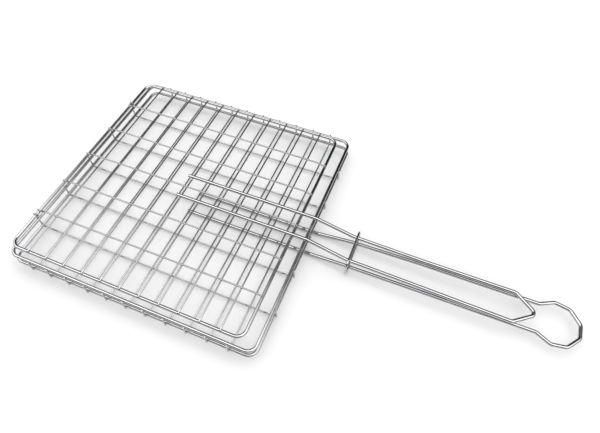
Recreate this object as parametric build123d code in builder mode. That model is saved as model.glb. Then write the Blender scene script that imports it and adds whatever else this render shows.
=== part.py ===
from build123d import *
import os

# Hinged wire grill basket. Millimetres, +Z up, +X from the hinge towards the handles.
# The origin is at the bottom centre of the whole object.

# wire diameters
frame_wire = 4.5
handle_wire = 5.0
mesh_wire = 2.2
ring_wire = 2.8

# basket
basket_side = 350.0
corner_bend = 12.0
hinge_side_x = -347.84
weld_sink = 0.12

# levels of the wire centrelines above the table
basket_arm_z = 2.5
floor_cross_z = basket_arm_z + (handle_wire + mesh_wire) / 2 - weld_sink
floor_long_z = floor_cross_z - mesh_wire + weld_sink
lower_ring_z = floor_cross_z + (frame_wire + mesh_wire) / 2 - weld_sink
rim_z = lower_ring_z + 14.8
stub_top_z = rim_z + 1.0

# mesh wires of the basket
cross_count = 11
long_count = 5
floor_cross_pitch = 28.5
floor_long_pitch = 58.3
stub_bend = 2.6

# hinge: two eyes round the hinge-side wire of the lid frame
hinge_gap = 0.3
eye_radius = frame_wire / 2 + hinge_gap + mesh_wire / 2
hinge_z = rim_z + 7.1
hinge_outset = 1.4

# lid
lid_edge_inset = 8.9
lid_handle_inset = 17.3
lid_cross_pitch = 27.67
lid_long_pitch = 54.9
lid_cross_z = hinge_z + (frame_wire + mesh_wire) / 2 - weld_sink
lid_long_z = lid_cross_z + mesh_wire - weld_sink
lid_arm_z = lid_cross_z + (handle_wire + mesh_wire) / 2 - weld_sink
wire_overhang = 1.4
step_near = 6.0
step_far = 14.0
step_bend = 6.0

# sliding ring
ring_x = hinge_side_x + 413.0
ring_half_width = 29.0
ring_bottom_z = ring_wire / 2
ring_top_z = 27.6
ring_bend = 8.0

outer_gap = (frame_wire + mesh_wire) / 2 - weld_sink
far_side_x = hinge_side_x + basket_side
middle_x = hinge_side_x + basket_side / 2
half_side = basket_side / 2
hinge_x = hinge_side_x - hinge_outset
lid_middle_x = hinge_side_x + 166.5

os.makedirs("parts", exist_ok=True)


def save(part, name):
    part.label = name
    export_step(part, f"parts/{name}.step")


def wire_along(points, diameter, bend, closed=False):
    """A round wire on straight runs joined by bends of one radius."""
    with BuildPart() as wire:
        with BuildLine() as path:
            FilletPolyline(*points, radius=bend, close=closed)
        with BuildSketch(Plane(origin=path.line @ 0, z_dir=path.line % 0)):
            Circle(diameter / 2)
        sweep()
    return wire.part


def rounded_loop(x_low, x_high, y_half, z):
    """A frame wire bent to a rectangle with rounded corners, lying flat at height z."""
    corners = [
        (x_high, -y_half, z),
        (x_high, y_half, z),
        (x_low, y_half, z),
        (x_low, -y_half, z),
    ]
    return wire_along(corners, frame_wire, corner_bend, closed=True)


def mirrored_run(half_run):
    """A run of points and its mirror image across the XZ plane, tip last to tip first."""
    return half_run + [(x, -y, z) for x, y, z in reversed(half_run)]


def floor_cross_wire(x):
    """A floor wire across the basket, both ends bent up outside the two rings."""
    side = half_side + outer_gap
    points = [
        (x, -side, stub_top_z),
        (x, -side, floor_cross_z),
        (x, side, floor_cross_z),
        (x, side, stub_top_z),
    ]
    return wire_along(points, mesh_wire, stub_bend)


def floor_long_wire(y):
    """A floor wire under the cross wires, both ends bent up outside the two rings."""
    points = [
        (hinge_side_x - outer_gap, y, stub_top_z),
        (hinge_side_x - outer_gap, y, floor_long_z),
        (far_side_x + outer_gap, y, floor_long_z),
        (far_side_x + outer_gap, y, stub_top_z),
    ]
    return wire_along(points, mesh_wire, stub_bend)


def hinge_wire(y):
    """A floor wire whose hinge-side end goes on upwards, leans out and curls round the lid frame."""
    riser_x = hinge_side_x - outer_gap
    eye_x = hinge_x - eye_radius
    with BuildPart() as wire:
        with BuildLine() as path:
            floor_run = FilletPolyline(
                (far_side_x + outer_gap, y, stub_top_z),
                (far_side_x + outer_gap, y, floor_long_z),
                (riser_x, y, floor_long_z),
                (riser_x, y, rim_z + 0.8),
                (eye_x, y, hinge_z - 2.0),
                (eye_x, y, hinge_z),
                radius=stub_bend,
            )
            over = ThreePointArc(
                (eye_x, y, hinge_z),
                (hinge_x, y, hinge_z + eye_radius),
                (hinge_x + eye_radius, y, hinge_z),
            )
            under = ThreePointArc(
                (hinge_x + eye_radius, y, hinge_z),
                (hinge_x + eye_radius * 0.7071068, y, hinge_z - eye_radius * 0.7071068),
                (hinge_x, y, hinge_z - eye_radius),
            )
        with BuildSketch(Plane(origin=path.line @ 0, z_dir=path.line % 0)):
            Circle(mesh_wire / 2)
        sweep()
    return wire.part


def lid_cross_wire(x):
    """A straight wire lying across the lid frame."""
    side = half_side - lid_edge_inset + wire_overhang
    with BuildPart() as wire:
        with BuildSketch(Plane(origin=(x, -side, lid_cross_z), z_dir=(0, 1, 0))):
            Circle(mesh_wire / 2)
        extrude(amount=2 * side)
    return wire.part


def lid_long_wire(y):
    """A wire on top of the lid's cross wires, both ends stepped down onto the frame."""
    x_start = hinge_x - wire_overhang
    x_end = far_side_x - lid_handle_inset + wire_overhang
    points = [
        (x_start, y, lid_cross_z),
        (x_start + step_near, y, lid_cross_z),
        (x_start + step_far, y, lid_long_z),
        (x_end - step_far, y, lid_long_z),
        (x_end - step_near, y, lid_cross_z),
        (x_end, y, lid_cross_z),
    ]
    return wire_along(points, mesh_wire, step_bend)


# basket half
save(rounded_loop(hinge_side_x, far_side_x, half_side, rim_z), "basket_rim")
save(rounded_loop(hinge_side_x, far_side_x, half_side, lower_ring_z), "basket_lower_ring")

for number in range(1, cross_count + 1):
    x = middle_x + (number - (cross_count + 1) / 2) * floor_cross_pitch
    save(floor_cross_wire(x), f"basket_cross_wire_{number:02d}")

for number in range(1, long_count + 1):
    y = (number - (long_count + 1) / 2) * floor_long_pitch
    if number in (1, long_count):
        save(hinge_wire(y), f"basket_long_wire_{number}")
    else:
        save(floor_long_wire(y), f"basket_long_wire_{number}")

# the basket handle: two arms under the floor, rising gently past the rim to a bulb to hang it by
basket_handle_half = [
    (hinge_side_x + 172.0, -17.0, basket_arm_z),
    (hinge_side_x + 356.0, -17.0, basket_arm_z),
    (hinge_side_x + 408.0, -18.7, 8.0),
    (hinge_side_x + 500.0, -19.4, 10.6),
    (hinge_side_x + 650.0, -19.4, 11.8),
    (hinge_side_x + 667.6, -28.3, 12.0),
    (hinge_side_x + 686.0, -25.2, 12.1),
    (hinge_side_x + 699.3, -9.1, 12.2),
]
save(wire_along(mirrored_run(basket_handle_half), handle_wire, 8.0), "basket_handle")

# lid half
lid_far_x = far_side_x - lid_handle_inset
save(rounded_loop(hinge_x, lid_far_x, half_side - lid_edge_inset, hinge_z), "lid_frame")

for number in range(1, cross_count + 1):
    x = lid_middle_x + (number - (cross_count + 1) / 2) * lid_cross_pitch
    save(lid_cross_wire(x), f"lid_cross_wire_{number:02d}")

for number in range(1, long_count + 1):
    y = (number - (long_count + 1) / 2) * lid_long_pitch
    save(lid_long_wire(y), f"lid_long_wire_{number}")

# the lid handle: two arms on the lid, kinked down past the rim, closing to a point
lid_handle_half = [
    (hinge_side_x + 161.0, -17.6, lid_arm_z),
    (hinge_side_x + 354.0, -17.6, lid_arm_z),
    (hinge_side_x + 408.0, -18.2, 23.3),
    (hinge_side_x + 501.0, -18.6, 20.6),
    (hinge_side_x + 620.0, -20.2, 18.2),
    (hinge_side_x + 643.0, -3.0, 17.8),
]
save(wire_along(mirrored_run(lid_handle_half), handle_wire, 5.0), "lid_handle")

# the sliding ring stands across all four arms
ring_corners = [
    (ring_x, ring_half_width, ring_bottom_z),
    (ring_x, ring_half_width, ring_top_z),
    (ring_x, -ring_half_width, ring_top_z),
    (ring_x, -ring_half_width, ring_bottom_z),
]
save(wire_along(ring_corners, ring_wire, ring_bend, closed=True), "sliding_ring")
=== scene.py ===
import math
import random

import bmesh
import bpy
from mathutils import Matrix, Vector


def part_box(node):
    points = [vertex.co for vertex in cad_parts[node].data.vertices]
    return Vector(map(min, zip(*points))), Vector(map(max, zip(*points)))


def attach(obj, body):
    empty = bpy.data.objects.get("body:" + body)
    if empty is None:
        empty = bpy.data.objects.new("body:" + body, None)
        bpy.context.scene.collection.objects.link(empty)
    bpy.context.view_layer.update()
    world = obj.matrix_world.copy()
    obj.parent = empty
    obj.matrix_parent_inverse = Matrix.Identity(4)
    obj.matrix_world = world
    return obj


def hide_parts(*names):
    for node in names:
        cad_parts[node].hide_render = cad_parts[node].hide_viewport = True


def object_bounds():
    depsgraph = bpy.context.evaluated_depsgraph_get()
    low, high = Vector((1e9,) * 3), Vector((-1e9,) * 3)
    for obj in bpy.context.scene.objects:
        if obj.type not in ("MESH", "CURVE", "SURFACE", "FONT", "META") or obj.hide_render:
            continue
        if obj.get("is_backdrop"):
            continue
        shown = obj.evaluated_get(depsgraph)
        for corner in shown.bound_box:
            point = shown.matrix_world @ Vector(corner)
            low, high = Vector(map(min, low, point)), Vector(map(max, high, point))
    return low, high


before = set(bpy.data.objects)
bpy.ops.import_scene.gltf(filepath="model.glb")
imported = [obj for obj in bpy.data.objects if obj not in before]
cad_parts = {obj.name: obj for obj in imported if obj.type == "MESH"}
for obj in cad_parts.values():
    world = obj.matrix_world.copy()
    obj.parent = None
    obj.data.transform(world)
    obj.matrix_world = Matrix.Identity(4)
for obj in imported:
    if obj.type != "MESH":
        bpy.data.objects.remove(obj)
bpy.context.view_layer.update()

MM = 0.001

# ---------------------------------------------------------------- sizes, in metres
FRAME_WIRE = 4.5 * MM
HANDLE_WIRE = 5.0 * MM
MESH_WIRE = 2.2 * MM
RING_WIRE = 2.8 * MM
CORNER_BEND = 12.0 * MM
STUB_BEND = 2.6 * MM
STEP_BEND = 6.0 * MM
BASKET_HANDLE_BEND = 8.0 * MM
LID_HANDLE_BEND = 5.0 * MM
RING_BEND = 8.0 * MM

HINGE_SIDE_X = -347.84 * MM
CROSS_COUNT = 11
LONG_COUNT = 5


def along(x_mm):
    """A distance from the hinge-side rim, in millimetres, as a place on the object's X axis."""
    return HINGE_SIDE_X + x_mm * MM


# ---------------------------------------------------------------- materials


class Nodes:
    """A material's node tree, built up by short calls."""

    def __init__(self, name):
        self.material = bpy.data.materials.new(name)
        self.material.use_nodes = True
        self.tree = self.material.node_tree
        self.tree.nodes.clear()
        self.output = self.tree.nodes.new("ShaderNodeOutputMaterial")
        self.shader = self.tree.nodes.new("ShaderNodeBsdfPrincipled")
        self.link(self.shader.outputs["BSDF"], self.output.inputs["Surface"])

    def link(self, out_socket, in_socket):
        self.tree.links.new(out_socket, in_socket)

    def new(self, kind, **inputs):
        node = self.tree.nodes.new(kind)
        for name, value in inputs.items():
            node.inputs[name].default_value = value
        return node

    def ramp(self, value, stops):
        node = self.tree.nodes.new("ShaderNodeValToRGB")
        elements = node.color_ramp.elements
        elements[0].position, elements[0].color = stops[0][0], (*stops[0][1], 1)
        elements[1].position, elements[1].color = stops[-1][0], (*stops[-1][1], 1)
        for place, colour in stops[1:-1]:
            elements.new(place).color = (*colour, 1)
        self.link(value, node.inputs["Fac"])
        return node.outputs["Color"]

    def map_range(self, value, low, high, from_low=0.0, from_high=1.0):
        node = self.tree.nodes.new("ShaderNodeMapRange")
        node.inputs["From Min"].default_value = from_low
        node.inputs["From Max"].default_value = from_high
        node.inputs["To Min"].default_value = low
        node.inputs["To Max"].default_value = high
        self.link(value, node.inputs["Value"])
        return node.outputs["Result"]


def chrome(name, tint, rough_low, rough_high, draw_depth):
    """Chrome plate over drawn wire: cloudy gloss and tint, and faint lines along the wire."""
    m = Nodes(name)
    place = m.new("ShaderNodeTexCoord")
    m.shader.inputs["Metallic"].default_value = 1.0

    clouds = m.new("ShaderNodeTexNoise", Scale=42.0, Detail=4.0, Roughness=0.55)
    m.link(place.outputs["Object"], clouds.inputs["Vector"])
    m.link(m.map_range(clouds.outputs["Fac"], rough_low, rough_high, 0.32, 0.68),
           m.shader.inputs["Roughness"])
    dark = tuple(c * 0.86 for c in tint)
    m.link(m.ramp(clouds.outputs["Fac"], [(0.30, dark), (0.62, tint)]),
           m.shader.inputs["Base Color"])

    stretch = m.new("ShaderNodeMapping")
    stretch.inputs["Scale"].default_value = (1.6, 14.0, 1.0)
    m.link(place.outputs["UV"], stretch.inputs["Vector"])
    lines = m.new("ShaderNodeTexNoise", Scale=1.0, Detail=3.0, Roughness=0.6)
    m.link(stretch.outputs["Vector"], lines.inputs["Vector"])
    bump = m.new("ShaderNodeBump", Strength=0.15, Distance=draw_depth)
    m.link(lines.outputs["Fac"], bump.inputs["Height"])
    m.link(bump.outputs["Normal"], m.shader.inputs["Normal"])
    return m.material


STEEL = (0.53, 0.53, 0.54)
frame_chrome = chrome("frame_chrome", STEEL, 0.05, 0.11, 0.00003)
mesh_chrome = chrome("mesh_chrome", (0.50, 0.50, 0.51), 0.06, 0.12, 0.00002)
handle_chrome = chrome("handle_chrome", STEEL, 0.04, 0.10, 0.00003)
ring_chrome = chrome("ring_chrome", STEEL, 0.06, 0.12, 0.00003)

# ---------------------------------------------------------------- wire geometry

SIDES = 20
RUN_STEP = 6.0 * MM
ARC_STEP = math.radians(7.5)
UV_SPAN = 0.1  # metres of wire in one unit of U
BURR_SHARE = 0.16  # rounding of a cut end, as a share of the wire's radius
END_PROFILE = ((0.0, 1.0), (0.3, 0.45), (1.0, 0.0))  # depth along the wire and inset, in burrs


def bent_path(points, bend, closed=False):
    """Places along straight runs joined by arcs of one radius, close together in the arcs."""
    points = [Vector(p) for p in points]
    count = len(points)
    path = []
    for i, corner in enumerate(points):
        if not closed and i in (0, count - 1):
            path.append(corner)
            continue
        before = (points[i - 1] - corner).normalized()
        after = (points[(i + 1) % count] - corner).normalized()
        half = before.angle(after) / 2
        reach = bend / math.tan(half)
        centre = corner + (before + after).normalized() * (bend / math.sin(half))
        start = corner + before * reach - centre
        end = corner + after * reach - centre
        turn = start.angle(end)
        steps = max(2, math.ceil(turn / ARC_STEP))
        for k in range(steps + 1):
            share = k / steps
            spoke = start * math.sin((1 - share) * turn) + end * math.sin(share * turn)
            path.append(centre + spoke / math.sin(turn))
    return divided(path, closed)


def divided(path, closed=False):
    """The same path with its long runs cut into short ones."""
    out = []
    for a, b in zip(path, path[1:] + (path[:1] if closed else [])):
        out.append(a)
        length = (b - a).length
        if length > 1.5 * RUN_STEP:
            steps = math.floor(length / RUN_STEP)
            out += [a.lerp(b, k / (steps + 1)) for k in range(1, steps + 1)]
    if not closed:
        out.append(path[-1])
    return out


def tube(name, path, diameter, material, closed=False):
    """A round wire along a path, its cut ends slightly rounded."""
    radius = diameter / 2
    count = len(path)
    tangents = []
    for i in range(count):
        ahead = path[(i + 1) % count] if closed or i < count - 1 else path[i]
        behind = path[i - 1] if closed or i > 0 else path[i]
        tangents.append((ahead - behind).normalized())
    side = tangents[0].orthogonal().normalized()
    rings = []
    for i, (place, tangent) in enumerate(zip(path, tangents)):
        if i:
            side = tangents[i - 1].rotation_difference(tangent) @ side
        side = (side - tangent * side.dot(tangent)).normalized()
        rings.append((place, tangent, side.copy(), radius))
    if closed:
        twist = tangents[-1].rotation_difference(tangents[0]) @ side
        first = rings[0][2]
        turn = math.atan2(twist.cross(first).dot(tangents[0]), twist.dot(first))
    else:
        turn = 0.0
        rings = end_rings(rings, BURR_SHARE * radius)
    bm = bmesh.new()
    uv = bm.loops.layers.uv.new("UVMap")
    loops, lengths, run = [], [], 0.0
    for i, (place, tangent, axis, r) in enumerate(rings):
        if i:
            run += (place - rings[i - 1][0]).length
        lengths.append(run)
        share = turn * i / len(rings)
        other = tangent.cross(axis)
        loop = []
        for k in range(SIDES):
            angle = share + 2 * math.pi * k / SIDES
            spoke = axis * math.cos(angle) + other * math.sin(angle)
            loop.append(bm.verts.new(place + spoke * r))
        loops.append(loop)
    pairs = list(range(len(loops) - 1))
    if closed:
        pairs.append(len(loops) - 1)
    for i in pairs:
        j = (i + 1) % len(loops)
        far = lengths[j] if j else run + (rings[0][0] - rings[-1][0]).length
        for k in range(SIDES):
            m = (k + 1) % SIDES
            face = bm.faces.new((loops[i][k], loops[i][m], loops[j][m], loops[j][k]))
            face.smooth = True
            marks = ((lengths[i], k), (lengths[i], k + 1), (far, k + 1), (far, k))
            for corner, (u, v) in zip(face.loops, marks):
                corner[uv].uv = (u / UV_SPAN, v / SIDES)
    if not closed:
        for loop, flip in ((loops[0], True), (loops[-1], False)):
            face = bm.faces.new(list(reversed(loop)) if flip else loop)
            for corner in face.loops:
                corner[uv].uv = (0.5, 0.5)
            for edge in face.edges:
                edge.smooth = False
    bmesh.ops.recalc_face_normals(bm, faces=bm.faces)
    mesh = bpy.data.meshes.new(name)
    bm.to_mesh(mesh)
    bm.free()
    mesh.materials.append(material)
    obj = bpy.data.objects.new(name, mesh)
    bpy.context.scene.collection.objects.link(obj)
    return obj


def end_rings(rings, burr):
    """The same rings, with the wire's two square-cut ends slightly rounded."""
    out = []
    first, last = rings[0], rings[-1]
    for depth, shrink in END_PROFILE:
        place, tangent, side, r = first
        out.append((place + tangent * burr * depth, tangent, side, r - burr * shrink))
    out += rings[1:-1]
    for depth, shrink in reversed(END_PROFILE):
        place, tangent, side, r = last
        out.append((place - tangent * burr * depth, tangent, side, r - burr * shrink))
    return out


def piece(obj, body, slot_name, *nodes):
    """Hands a mesh over: the body it rides and the CAD nodes it replaces; slot_name is not used."""
    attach(obj, body)
    if nodes:
        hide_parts(*nodes)


def with_mirror(run):
    """A run of points and its mirror image across the XZ plane."""
    return run + [(x, -y, z) for x, y, z in reversed(run)]


# ---------------------------------------------------------------- basket


def flat_loop(node):
    """The corner points of a frame wire lying flat, from its CAD box."""
    low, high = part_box(node)
    r = FRAME_WIRE / 2
    z = (low.z + high.z) / 2
    return [
        (high.x - r, low.y + r, z),
        (high.x - r, high.y - r, z),
        (low.x + r, high.y - r, z),
        (low.x + r, low.y + r, z),
    ]


for node, body in (("basket_rim", "basket"), ("basket_lower_ring", "basket"), ("lid_frame", "lid")):
    path = bent_path(flat_loop(node), CORNER_BEND, closed=True)
    wire = tube(node + "_wire", path, FRAME_WIRE, frame_chrome, closed=True)
    piece(wire, body, "frame_wire", node)

R = MESH_WIRE / 2
for number in range(1, CROSS_COUNT + 1):
    node = f"basket_cross_wire_{number:02d}"
    low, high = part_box(node)
    x, z = (low.x + high.x) / 2, low.z + R
    points = [(x, low.y + R, high.z), (x, low.y + R, z), (x, high.y - R, z), (x, high.y - R, high.z)]
    path = bent_path(points, STUB_BEND)
    wire = tube(f"floor_cross_wire_{number:02d}", path, MESH_WIRE, mesh_chrome)
    piece(wire, "basket", "mesh_wire", node)

frame_low, frame_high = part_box("lid_frame")
HINGE = Vector((frame_low.x + FRAME_WIRE / 2, 0, (frame_low.z + frame_high.z) / 2))
EYE_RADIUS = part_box("basket_long_wire_1")[1].z - R - HINGE.z
EYE_CURL = math.radians(270)
EYE_STEPS = 40
LEAN_START = 0.8 * MM  # above the rim's centre, where the hinge wires begin to lean out
LEAN_END = 2.0 * MM  # below the hinge line, where they stand straight again
plain_low, plain_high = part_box("basket_long_wire_3")
STUB_RISE = 1.0 * MM
RIM_Z = plain_high.z - STUB_RISE
for number in range(1, LONG_COUNT + 1):
    node = f"basket_long_wire_{number}"
    low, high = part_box(node)
    y, z = (low.y + high.y) / 2, low.z + R
    x_low, x_high = plain_low.x + R, plain_high.x - R
    top = plain_high.z
    has_eye = number in (1, LONG_COUNT)
    points = [(x_high, y, top), (x_high, y, z), (x_low, y, z), (x_low, y, top)]
    if has_eye:
        x_eye = HINGE.x - EYE_RADIUS
        points[-1] = (x_low, y, RIM_Z + LEAN_START)
        points += [(x_eye, y, HINGE.z - LEAN_END), (x_eye, y, HINGE.z)]
    path = bent_path(points, STUB_BEND)
    if has_eye:
        for k in range(1, EYE_STEPS + 1):
            angle = math.pi - EYE_CURL * k / EYE_STEPS
            path.append(Vector((HINGE.x + EYE_RADIUS * math.cos(angle), y,
                                HINGE.z + EYE_RADIUS * math.sin(angle))))
    wire = tube(f"floor_long_wire_{number}", path, MESH_WIRE, mesh_chrome)
    piece(wire, "basket", "mesh_wire", node)

ARM_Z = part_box("basket_handle")[0].z + HANDLE_WIRE / 2
BASKET_ARM_Y = 17.0 * MM
BASKET_ARM_START = along(172.0)
half_run = [
    (BASKET_ARM_START, -BASKET_ARM_Y, ARM_Z),
    (along(356.0), -BASKET_ARM_Y, ARM_Z),
    (along(408.0), -18.7 * MM, 8.0 * MM),
    (along(500.0), -19.4 * MM, 10.6 * MM),
    (along(650.0), -19.4 * MM, 11.8 * MM),
    (along(667.6), -28.3 * MM, 12.0 * MM),
    (along(686.0), -25.2 * MM, 12.1 * MM),
    (along(699.3), -9.1 * MM, 12.2 * MM),
]
path = bent_path(with_mirror(half_run), BASKET_HANDLE_BEND)
wire = tube("basket_handle_wire", path, HANDLE_WIRE, handle_chrome)
piece(wire, "basket", "handle_wire", "basket_handle")

# ---------------------------------------------------------------- lid
for number in range(1, CROSS_COUNT + 1):
    node = f"lid_cross_wire_{number:02d}"
    low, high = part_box(node)
    x, z = (low.x + high.x) / 2, (low.z + high.z) / 2
    path = divided([Vector((x, low.y, z)), Vector((x, high.y, z))])
    wire = tube(f"lid_top_cross_wire_{number:02d}", path, MESH_WIRE, mesh_chrome)
    piece(wire, "lid", "mesh_wire", node)

STEP_NEAR, STEP_FAR = 6.0 * MM, 14.0 * MM
for number in range(1, LONG_COUNT + 1):
    node = f"lid_long_wire_{number}"
    low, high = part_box(node)
    y, z_low, z_high = (low.y + high.y) / 2, low.z + R, high.z - R
    points = [
        (low.x, y, z_low),
        (low.x + STEP_NEAR, y, z_low),
        (low.x + STEP_FAR, y, z_high),
        (high.x - STEP_FAR, y, z_high),
        (high.x - STEP_NEAR, y, z_low),
        (high.x, y, z_low),
    ]
    path = bent_path(points, STEP_BEND)
    wire = tube(f"lid_top_long_wire_{number}", path, MESH_WIRE, mesh_chrome)
    piece(wire, "lid", "mesh_wire", node)

LID_ARM_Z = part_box("lid_handle")[1].z - HANDLE_WIRE / 2
LID_ARM_Y = 17.6 * MM
LID_ARM_START = along(161.0)
half_run = [
    (LID_ARM_START, -LID_ARM_Y, LID_ARM_Z),
    (along(354.0), -LID_ARM_Y, LID_ARM_Z),
    (along(408.0), -18.2 * MM, 23.3 * MM),
    (along(501.0), -18.6 * MM, 20.6 * MM),
    (along(620.0), -20.2 * MM, 18.2 * MM),
    (along(643.0), -3.0 * MM, 17.8 * MM),
]
path = bent_path(with_mirror(half_run), LID_HANDLE_BEND)
wire = tube("lid_handle_wire", path, HANDLE_WIRE, handle_chrome)
piece(wire, "lid", "handle_wire", "lid_handle")

# ---------------------------------------------------------------- sliding ring
low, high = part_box("sliding_ring")
r = RING_WIRE / 2
x = (low.x + high.x) / 2
points = [(x, high.y - r, low.z + r), (x, high.y - r, high.z - r),
          (x, low.y + r, high.z - r), (x, low.y + r, low.z + r)]
path = bent_path(points, RING_BEND, closed=True)
wire = tube("sliding_ring_wire", path, RING_WIRE, ring_chrome, closed=True)
piece(wire, "sliding_ring", "ring_wire", "sliding_ring")

# ---------------------------------------------------------------- welds
NUGGET = 1.45 * MM
NUGGET_FLATNESS = 0.42
NUGGET_SEGMENTS, NUGGET_ROWS = 14, 8
WOBBLE = 0.08


def weld_nuggets(name, spots):
    """Small flattened beads of metal squeezed out where two wires are spot welded."""
    around, rows = NUGGET_SEGMENTS, NUGGET_ROWS
    verts, faces = [], []
    for place, axis, spread in spots:
        turn = Vector((0, 0, 1)).rotation_difference(Vector(axis)).to_matrix()
        wobble = 1.0 + random.uniform(-WOBBLE, WOBBLE)
        first = len(verts)
        verts.append(Vector(place) + turn @ Vector((0, 0, NUGGET_FLATNESS * spread)))
        for row in range(1, rows):
            lean = math.pi * row / rows
            for k in range(around):
                angle = 2 * math.pi * k / around
                flat = Vector((math.sin(lean) * math.cos(angle) * wobble,
                               math.sin(lean) * math.sin(angle) / wobble,
                               NUGGET_FLATNESS * math.cos(lean)))
                verts.append(Vector(place) + turn @ (flat * spread))
        last = len(verts)
        verts.append(Vector(place) - turn @ Vector((0, 0, NUGGET_FLATNESS * spread)))
        for k in range(around):
            m = (k + 1) % around
            faces.append((first, first + 1 + k, first + 1 + m))
            for row in range(rows - 2):
                top = first + 1 + row * around
                faces.append((top + k, top + around + k, top + around + m, top + m))
            low_row = last - around
            faces.append((low_row + k, last, low_row + m))
    mesh = bpy.data.meshes.new(name)
    mesh.from_pydata(verts, [], faces)
    mesh.shade_smooth()
    layer = mesh.uv_layers.new(name="UVMap")
    for loop in mesh.loops:
        place = verts[loop.vertex_index]
        layer.data[loop.index].uv = (place.x / UV_SPAN, place.y / UV_SPAN)
    mesh.materials.append(mesh_chrome)
    obj = bpy.data.objects.new(name, mesh)
    bpy.context.scene.collection.objects.link(obj)
    return obj


def middle(node):
    """The middle of a node's CAD box."""
    low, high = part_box(node)
    return (low + high) / 2


def level(node):
    """The height of a floor wire's centreline."""
    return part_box(node)[0].z + R


def on_arms(cross, arm_start, arm_y, z):
    """Where the cross wires meet the two arms of a handle."""
    return [((x, side * arm_y, z), UP, NUGGET) for x in cross if x > arm_start for side in (-1, 1)]


random.seed(7)
UP, OUT_X, OUT_Y = (0, 0, 1), (1, 0, 0), (0, 1, 0)
cross = [middle(f"basket_cross_wire_{n:02d}").x for n in range(1, CROSS_COUNT + 1)]
long_runs = [middle(f"basket_long_wire_{n}").y for n in range(1, LONG_COUNT + 1)]
cross_z, long_z = level("basket_cross_wire_01"), level("basket_long_wire_3")
spots = [((x, y, (cross_z + long_z) / 2), UP, NUGGET) for x in cross for y in long_runs]
for ring in ("basket_rim", "basket_lower_ring"):
    low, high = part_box(ring)
    z = (low.z + high.z) / 2
    for x in cross:
        spots += [((x, low.y, z), OUT_Y, NUGGET), ((x, high.y, z), OUT_Y, NUGGET)]
    for y in long_runs:
        spots += [((low.x, y, z), OUT_X, NUGGET), ((high.x, y, z), OUT_X, NUGGET)]
spots += on_arms(cross, BASKET_ARM_START, BASKET_ARM_Y, ARM_Z + HANDLE_WIRE / 2)
piece(weld_nuggets("basket_weld_nuggets", spots), "basket", "mesh_wire")

cross = [middle(f"lid_cross_wire_{n:02d}").x for n in range(1, CROSS_COUNT + 1)]
long_runs = [middle(f"lid_long_wire_{n}").y for n in range(1, LONG_COUNT + 1)]
cross_z = middle("lid_cross_wire_01").z
low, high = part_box("lid_frame")
inset = FRAME_WIRE / 2
spots = [((x, y, cross_z + R), UP, NUGGET) for x in cross[1:-1] for y in long_runs]
for x in cross:
    spots += [((x, y, high.z), UP, NUGGET) for y in (low.y + inset, high.y - inset)]
for y in long_runs:
    spots += [((x, y, high.z), UP, NUGGET) for x in (low.x + inset, high.x - inset)]
spots += on_arms(cross, LID_ARM_START, LID_ARM_Y, cross_z + R)
piece(weld_nuggets("lid_weld_nuggets", spots), "lid", "mesh_wire")

# ---------------------------------------------------------------- floor, light, camera
floor_paint = Nodes("pale_floor")
floor_paint.shader.inputs["Roughness"].default_value = 0.6
place = floor_paint.new("ShaderNodeTexCoord")
grain = floor_paint.new("ShaderNodeTexNoise", Scale=3.0, Detail=2.0)
floor_paint.link(place.outputs["Object"], grain.inputs["Vector"])
floor_paint.link(
    floor_paint.ramp(grain.outputs["Fac"], [(0.3, (0.89, 0.89, 0.89)), (0.7, (0.91, 0.91, 0.91))]),
    floor_paint.shader.inputs["Base Color"],
)
floor_mesh = bpy.data.meshes.new("floor")
REACH = 6.0
floor_corners = [(-REACH, -REACH, 0), (REACH, -REACH, 0), (REACH, REACH, 0), (-REACH, REACH, 0)]
floor_mesh.from_pydata(floor_corners, [], [(0, 1, 2, 3)])
floor_mesh.materials.append(floor_paint.material)
floor = bpy.data.objects.new("floor", floor_mesh)
bpy.context.scene.collection.objects.link(floor)
floor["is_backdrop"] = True

# mirror reflections see a dark studio with one long softbox, all else sees a pale room
world = bpy.data.worlds.new("studio")
world.use_nodes = True
tree = world.node_tree
sky = tree.nodes.new("ShaderNodeTexCoord")
ways = tree.nodes.new("ShaderNodeSeparateXYZ")
tree.links.new(sky.outputs["Generated"], ways.inputs["Vector"])
depth = tree.nodes.new("ShaderNodeMapRange")
depth.inputs["From Min"].default_value = -1.0
tree.links.new(ways.outputs["Y"], depth.inputs["Value"])


def fade(value, shades):
    """A grey ramp over a value, from pairs of position and shade."""
    node = tree.nodes.new("ShaderNodeValToRGB")
    stops = node.color_ramp.elements
    stops[0].position, stops[0].color = shades[0][0], (shades[0][1],) * 3 + (1,)
    stops[1].position, stops[1].color = shades[-1][0], (shades[-1][1],) * 3 + (1,)
    for position, shade in shades[1:-1]:
        stops.new(position).color = (shade, shade, shade, 1)
    tree.links.new(value, node.inputs["Fac"])
    return node.outputs["Color"]


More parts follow.
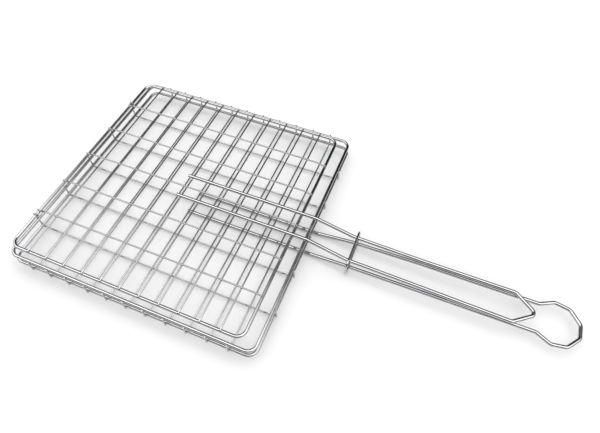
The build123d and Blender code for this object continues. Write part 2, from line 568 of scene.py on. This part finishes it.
sides = fade(depth.outputs["Result"], [
    (0.0, 0.01), (0.18, 0.02), (0.27, 0.9), (0.34, 1.0), (0.57, 1.0),
    (0.64, 0.75), (0.70, 0.12), (0.80, 0.01), (1.0, 0.005),
])
horizon = fade(ways.outputs["Z"], [(0.0, 0.01), (0.42, 0.03), (0.58, 1.0)])
both = tree.nodes.new("ShaderNodeVectorMath")
both.operation = "MULTIPLY"
tree.links.new(sides, both.inputs[0])
tree.links.new(horizon, both.inputs[1])
softbox = tree.nodes["Background"]
softbox.inputs["Strength"].default_value = 2.6
tree.links.new(both.outputs["Vector"], softbox.inputs["Color"])
room = tree.nodes.new("ShaderNodeBackground")
room.inputs["Color"].default_value = (1.0, 1.0, 1.0, 1)
room.inputs["Strength"].default_value = 0.84
ray = tree.nodes.new("ShaderNodeLightPath")
choice = tree.nodes.new("ShaderNodeMixShader")
tree.links.new(ray.outputs["Is Glossy Ray"], choice.inputs["Fac"])
tree.links.new(room.outputs["Background"], choice.inputs[1])
tree.links.new(softbox.outputs["Background"], choice.inputs[2])
tree.links.new(choice.outputs["Shader"], tree.nodes["World Output"].inputs["Surface"])
bpy.context.scene.world = world


def soft_light(name, place, size, power):
    """An area light aimed at the object, which reflections don't show."""
    data = bpy.data.lights.new(name, "AREA")
    data.shape = "RECTANGLE"
    data.size, data.size_y = size
    data.energy = power
    lamp = bpy.data.objects.new(name, data)
    lamp.location = place
    lamp.rotation_euler = (-Vector(place)).to_track_quat("-Z", "Y").to_euler()
    lamp.visible_glossy = False
    bpy.context.scene.collection.objects.link(lamp)


soft_light("overhead", (-0.05, 0.4, 1.6), (3.0, 2.6), 17.0)
soft_light("fill", (0.5, -1.4, 1.4), (1.6, 1.2), 3.0)

camera_data = bpy.data.cameras.new("camera")
camera_data.sensor_width = 36.0
camera_data.lens = 29.113
camera_data.shift_x = 0.0124
camera_data.shift_y = -0.0313
camera = bpy.data.objects.new("camera", camera_data)
camera.location = (0.11342, -0.32341, 0.57850)
camera.rotation_euler = (math.radians(35.8234), math.radians(0.1693), math.radians(22.2552))
bpy.context.scene.collection.objects.link(camera)
bpy.context.scene.camera = camera
bpy.context.scene.view_settings.view_transform = "Standard"

low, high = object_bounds()
